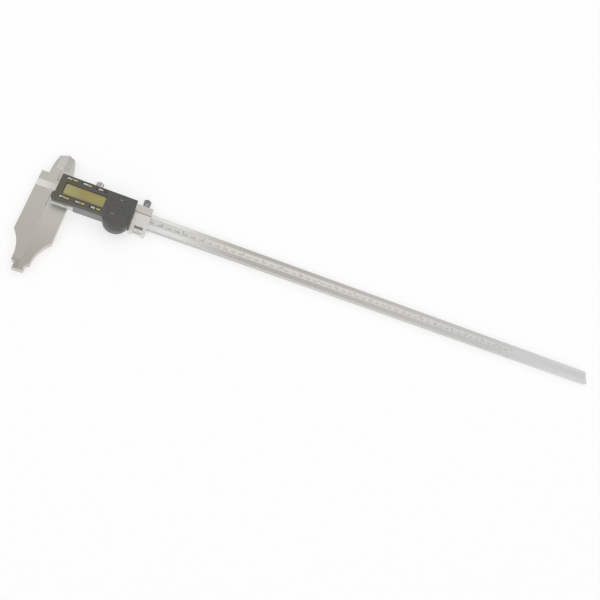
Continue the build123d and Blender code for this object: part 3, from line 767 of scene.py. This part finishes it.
@dataclass
class KeyLegends:
    """White and yellow words on the keys.

    Attributes:
        words: The words.
        shift_x: How far all of them stand to the right of their places.
        shift_y: How far they stand above the middle of their keys.
        letter_height: Height of a capital letter.
        boldness: How much letters are thickened, as a share of their height.
        ink_gap: Height of the ink above the key.
    """

    words: Sequence[Word]
    shift_x: float = 0.65 * MM
    shift_y: float = -0.50 * MM
    letter_height: float = 2.15 * MM
    boldness: float = 0.045
    ink_gap: float = 0.015 * MM

    def build(self) -> None:
        """Print each word."""
        for word in self.words:
            low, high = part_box(word.key)
            middle = (low + high) / 2
            length = high.x - low.x
            x = middle.x + word.place * length / 2 + self.shift_x
            sheet = MarkSheet(word.name, high.z + self.ink_gap, self.boldness)
            sheet.add_text(word.text, Vector((x, middle.y + self.shift_y, 0.0)),
                           self.letter_height, word.width * length)
            sheet.finish(word.key, word.ink)


@dataclass
class CapMarks:
    """Painted glints on the rim of the battery cap, drawn as pale marks.

    Attributes:
        ring_gap: Distance of the marks from the cap's edge.
        mark_width: Width of the curved line.
        ink_gap: Height of the ink above the cover.
        arrow_at: Angle of the curved line's middle, in degrees.
        arrow_span: Angle that it covers, in degrees.
        arrow_steps: Straight pieces that make it up.
        dots_at: Angle of the middle between the dots, in degrees.
        dots_shift: Angle of each dot from there, in degrees.
        dot_share: Radius of a dot as a share of the line's width.
        dot_sides: Sides of a dot.
    """

    ring_gap: float = 1.0 * MM
    mark_width: float = 0.7 * MM
    ink_gap: float = 0.015 * MM
    arrow_at: float = 82.0
    arrow_span: float = 14.0
    arrow_steps: int = 6
    dots_at: float = -105.0
    dots_shift: float = 4.5
    dot_share: float = 0.75
    dot_sides: int = 12

    def build(self) -> None:
        """Paint the glints as a curved line above the cap and two dots below it."""
        low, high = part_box("battery_cap")
        centre = (low + high) / 2
        radius = (high.x - low.x) / 2 + self.ring_gap
        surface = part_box("front_cover")[1].z + self.ink_gap
        glint_arc = MarkSheet("cap_glint_arc", surface)
        inner = radius - self.mark_width / 2
        outer = radius + self.mark_width / 2
        start = self.arrow_at - self.arrow_span / 2
        steps = self.arrow_steps
        angles = [math.radians(start + self.arrow_span * i / steps) for i in range(steps + 1)]
        ring = [on_circle(centre.x, centre.y, outer, a) for a in angles]
        ring += [on_circle(centre.x, centre.y, inner, a) for a in reversed(angles)]
        glint_arc.add_polygon(ring)
        glint_arc.finish("slider", GLINT_INK)
        dots = MarkSheet("cap_glint_dots", surface)
        dot_radius = self.mark_width * self.dot_share
        for shift in (-self.dots_shift, self.dots_shift):
            x, y = on_circle(centre.x, centre.y, radius, math.radians(self.dots_at + shift))
            dots.add_polygon([on_circle(x, y, dot_radius, 2 * math.pi * i / self.dot_sides)
                              for i in range(self.dot_sides)])
        dots.finish("slider", GLINT_INK)


@dataclass
class LobeRibs:
    """Crests of the flutes on the cover's lobe over the thumb wheel, paler than the cover as a painted highlight
    where they catch the light.

    Attributes:
        count: Number of crests.
        step: Angle between two crests, in degrees.
        centre_x: X of the lobe's centre.
        radius: Radius of the lobe.
        width: Width of a crest at its root.
        taper: Width at its outer side, as a share of that.
        stand: How far a crest stands out of the lobe.
        root: How far it reaches into the lobe.
        wall_height: Height of a crest.
        bevel: Distance of its upper end below the cover's face.
    """

    count: int = 14
    step: float = 7.6
    centre_x: float = -0.30169
    radius: float = 14.8 * MM
    width: float = 0.7 * MM
    taper: float = 0.6
    stand: float = 0.15 * MM
    root: float = 0.3 * MM
    wall_height: float = 5.6 * MM
    bevel: float = 1.3 * MM

    def build(self) -> None:
        """Make every crest as one thin upright bar."""
        low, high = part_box("front_cover")
        centre = Vector((self.centre_x, low.y + self.radius, 0.0))
        top = high.z - self.bevel
        shape = bmesh.new()
        for i in range(self.count):
            turn = math.radians(-90.0 + (i - (self.count - 1) / 2) * self.step)
            out = Vector((math.cos(turn), math.sin(turn), 0.0))
            side = Vector((-out.y, out.x, 0.0)) * self.width / 2
            near = centre + out * (self.radius - self.root)
            far = centre + out * (self.radius + self.stand)
            corners = [near - side, far - side * self.taper, far + side * self.taper, near + side]
            add_tube(shape, [[shape.verts.new((c.x, c.y, z)) for c in corners]
                             for z in (top - self.wall_height, top)])
        link_mesh("lobe_ribs", shape_mesh(shape, "lobe_ribs"), "slider", RIB_HIGHLIGHT)


@dataclass
class ThreadedRod:
    """Fine adjustment rod with a real thread, in the place of the plain one.

    Attributes:
        pitch: Pitch of the thread.
        depth: Depth of the thread.
        sides: Corners of one ring.
        steps_per_pitch: Rings in one turn of the thread.
    """

    pitch: float = 0.5 * MM
    depth: float = 0.16 * MM
    sides: int = 20
    steps_per_pitch: int = 4

    def build(self) -> None:
        """Make the thread as one closed mesh."""
        low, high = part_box("fine_adjust_rod")
        middle = (low + high) / 2
        radius = (high.z - low.z) / 2
        length = high.x - low.x
        steps = int(length / self.pitch) * self.steps_per_pitch
        shape = bmesh.new()
        rings: list[list[bmesh.types.BMVert]] = []
        for i in range(steps + 1):
            x = low.x + length * i / steps
            ring = []
            for j in range(self.sides):
                turn = 2 * math.pi * j / self.sides
                wave = 0.5 - 0.5 * math.cos(2 * math.pi * x / self.pitch - turn)
                y, z = on_circle(middle.y, middle.z, radius - self.depth * wave, turn)
                ring.append(shape.verts.new((x, y, z)))
            rings.append(ring)
        add_tube(shape, rings)
        rod = link_mesh("threaded_rod", shape_mesh(shape, "threaded_rod"), "slider", SCREW_STEEL)
        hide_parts("fine_adjust_rod")


@dataclass(frozen=True)
class CameraFit:
    """Camera of the photograph.

    Attributes:
        location: Place of the lens.
        target: Point in the middle of the picture.
        roll: Turn of the camera about its axis, counterclockwise, in degrees.
        lens: Focal length in millimetres.
        sensor_width: Width of the square sensor, in millimetres.
        clip_start: Nearest distance that is shown.
        clip_end: Farthest distance that is shown.
    """

    location: Vector
    target: Vector
    roll: float
    lens: float
    sensor_width: float = 36.0
    clip_start: float = 0.01
    clip_end: float = 20.0

    def build(self) -> None:
        """Make the camera and use it."""
        data = bpy.data.cameras.new("photo_camera")
        data.lens = self.lens
        data.sensor_width = self.sensor_width
        data.clip_start = self.clip_start
        data.clip_end = self.clip_end
        camera = bpy.data.objects.new("photo_camera", data)
        bpy.context.scene.collection.objects.link(camera)
        look = (self.target - self.location).to_track_quat("-Z", "Y")
        camera.rotation_mode = "QUATERNION"
        camera.rotation_quaternion = look @ Quaternion((0.0, 0.0, 1.0), math.radians(self.roll))
        camera.location = self.location
        bpy.context.scene.camera = camera
        log.info("camera at %s", tuple(round(v, 4) for v in self.location))


@dataclass(frozen=True)
class AreaLamp:
    """One soft lamp.

    Attributes:
        name: Name of the lamp.
        target: Point that it faces.
        way: Direction from there to the lamp.
        distance: Distance of the lamp, as a factor of that direction.
        size: Edge of the square lamp.
        power: Its power in watts.
    """

    name: str
    target: Vector
    way: Vector
    distance: float
    size: float
    power: float

    def build(self) -> None:
        """Make the lamp."""
        data = bpy.data.lights.new(self.name, "AREA")
        data.shape = "SQUARE"
        data.size = self.size
        data.energy = self.power
        lamp = bpy.data.objects.new(self.name, data)
        bpy.context.scene.collection.objects.link(lamp)
        lamp.location = self.target + self.distance * self.way
        lamp.rotation_mode = "QUATERNION"
        lamp.rotation_quaternion = (self.target - lamp.location).to_track_quat("-Z", "Y")
        lamp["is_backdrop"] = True
        log.info("lamp %s", self.name)


@dataclass
class Studio:
    """White floor, light from all round, and soft lamps.

    Attributes:
        lamps: The lamps.
        sky_level: Strength of the light from all round.
        sky: Its colours by the Z of the direction, from 0 at the horizon to 1 overhead.
        front_start: Y of the direction where the front light sets in.
        front_full: Y of the direction where it is full.
        front_low: Z of the direction where it sets in.
        front_high: Z of the direction where it is full.
        front_level: Brightness of the front light.
        floor_size: Edge of the floor.
        floor_gap: Distance of the floor below the object.
        floor_color: Grey of the floor.
        floor_roughness: Its roughness.
        floor_glow: How much it glows.
    """

    lamps: Sequence[AreaLamp]
    sky_level: float = 1.08
    sky: Stops = (
        (0.00, (0.18, 0.18, 0.18)),
        (0.30, (0.34, 0.34, 0.34)),
        (0.50, (0.48, 0.48, 0.48)),
        (0.60, (0.975, 1.0, 1.0)),
        (0.93, (0.463, 0.454, 0.437)),
    )
    front_start: float = -0.1
    front_full: float = -0.6
    front_low: float = 0.15
    front_high: float = 0.50
    front_level: float = 1.15
    floor_size: float = 12.0
    floor_gap: float = 0.2 * MM
    floor_color: float = 0.62
    floor_roughness: float = 0.9
    floor_glow: float = 0.53

    def build(self) -> None:
        """Make floor, world and lamps."""
        self._make_world()
        self._make_floor()
        for lamp in self.lamps:
            lamp.build()
        bpy.context.scene.view_settings.view_transform = "Standard"

    def _make_world(self) -> None:
        """Make the world: white where the camera looks at it, and otherwise the light from all round."""
        world = bpy.data.worlds.new("studio_world")
        world.use_nodes = True
        tree = world.node_tree
        tree.nodes.clear()
        output = tree.nodes.new("ShaderNodeOutputWorld")
        rays = tree.nodes.new("ShaderNodeLightPath")
        seen = tree.nodes.new("ShaderNodeBackground")
        light = tree.nodes.new("ShaderNodeBackground")
        mix = tree.nodes.new("ShaderNodeMixShader")
        seen.inputs["Color"].default_value = (1.0, 1.0, 1.0, 1.0)
        light.inputs["Strength"].default_value = self.sky_level
        tree.links.new(self._add_sky(tree), light.inputs["Color"])
        tree.links.new(rays.outputs["Is Camera Ray"], mix.inputs["Fac"])
        tree.links.new(light.outputs["Background"], mix.inputs[1])
        tree.links.new(seen.outputs["Background"], mix.inputs[2])
        tree.links.new(mix.outputs["Shader"], output.inputs["Surface"])
        bpy.context.scene.world = world
        log.info("world with %d tones", len(self.sky))

    def _add_sky(self, tree: bpy.types.NodeTree) -> bpy.types.NodeSocket:
        """Add the light from all round.

        It is dark at the horizon, brightest a little more than halfway up, and dimmer overhead. In front of
        the object, towards -Y, the front light takes its place wherever that is the brighter one.

        Args:
            tree: Node tree of the world.

        Returns:
            The socket that gives its colour.
        """
        way = tree.nodes.new("ShaderNodeTexCoord")
        split = tree.nodes.new("ShaderNodeSeparateXYZ")
        tones = tree.nodes.new("ShaderNodeValToRGB")
        share = tree.nodes.new("ShaderNodeMath")
        brighter = tree.nodes.new("ShaderNodeVectorMath")
        share.operation = "MULTIPLY"
        brighter.operation = "MAXIMUM"
        fill_ramp(tones, self.sky)
        side = add_smooth_step(tree, split.outputs["Y"], self.front_start, self.front_full, self.front_level)
        lift = add_smooth_step(tree, split.outputs["Z"], self.front_low, self.front_high, 1.0)
        tree.links.new(way.outputs["Generated"], split.inputs["Vector"])
        tree.links.new(split.outputs["Z"], tones.inputs["Fac"])
        tree.links.new(side, share.inputs[0])
        tree.links.new(lift, share.inputs[1])
        tree.links.new(tones.outputs["Color"], brighter.inputs[0])
        tree.links.new(share.outputs["Value"], brighter.inputs[1])
        return brighter.outputs["Vector"]

    def _make_floor(self) -> None:
        """Make a pale floor that keeps the shadow and glows a little, so that it reads as white."""
        low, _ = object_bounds()
        half = self.floor_size / 2
        mesh = bpy.data.meshes.new("floor")
        z = low.z - self.floor_gap
        corners = [(-half, -half, z), (half, -half, z), (half, half, z), (-half, half, z)]
        mesh.from_pydata(corners, [], [(0, 1, 2, 3)])
        mesh.update()
        floor = bpy.data.objects.new("floor", mesh)
        bpy.context.scene.collection.objects.link(floor)
        material = bpy.data.materials.new("white_floor")
        material.use_nodes = True
        shader = material.node_tree.nodes["Principled BSDF"]
        shader.inputs["Base Color"].default_value = (self.floor_color,) * 3 + (1.0,)
        shader.inputs["Roughness"].default_value = self.floor_roughness
        shader.inputs["Specular IOR Level"].default_value = 0.0
        shader.inputs["Emission Color"].default_value = (1.0, 1.0, 1.0, 1.0)
        shader.inputs["Emission Strength"].default_value = self.floor_glow
        floor.data.materials.append(material)
        floor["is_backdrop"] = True
        log.info("floor at %.4f", z)


def write_sizes(after: tuple[Vector, Vector]) -> None:
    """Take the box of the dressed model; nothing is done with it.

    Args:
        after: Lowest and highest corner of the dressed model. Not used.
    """
    log.info("sizes written")


def main() -> None:
    """Build the stage and every part of the look."""
    logging.basicConfig(level=logging.INFO, format="%(name)s: %(message)s")
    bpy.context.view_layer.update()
    CameraFit(
        location=Vector((-0.2587, -0.3115, 0.5819)),
        target=Vector((-0.0706, -0.0046, 0.0076)),
        roll=46.47,
        lens=33.0,
    ).build()
    flare = AreaLamp(
        "flare_lamp",
        target=Vector((-0.240, 0.024, 0.0076)),
        way=Vector((0.02, 0.511, 0.86)),
        distance=2.0,
        size=0.14,
        power=0.42,
    )
    Studio([flare]).build()
    PackedFinishes(frame["nodes"]).build()
    jaw_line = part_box("slider_frame")[0].x
    BeamScale(jaw_line + SCALE_START).build()
    KeyLegends(KEY_WORDS).build()
    CapMarks().build()
    LobeRibs().build()
    ThreadedRod().build()
    write_sizes(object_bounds())


if __name__ == "__main__":
    main()
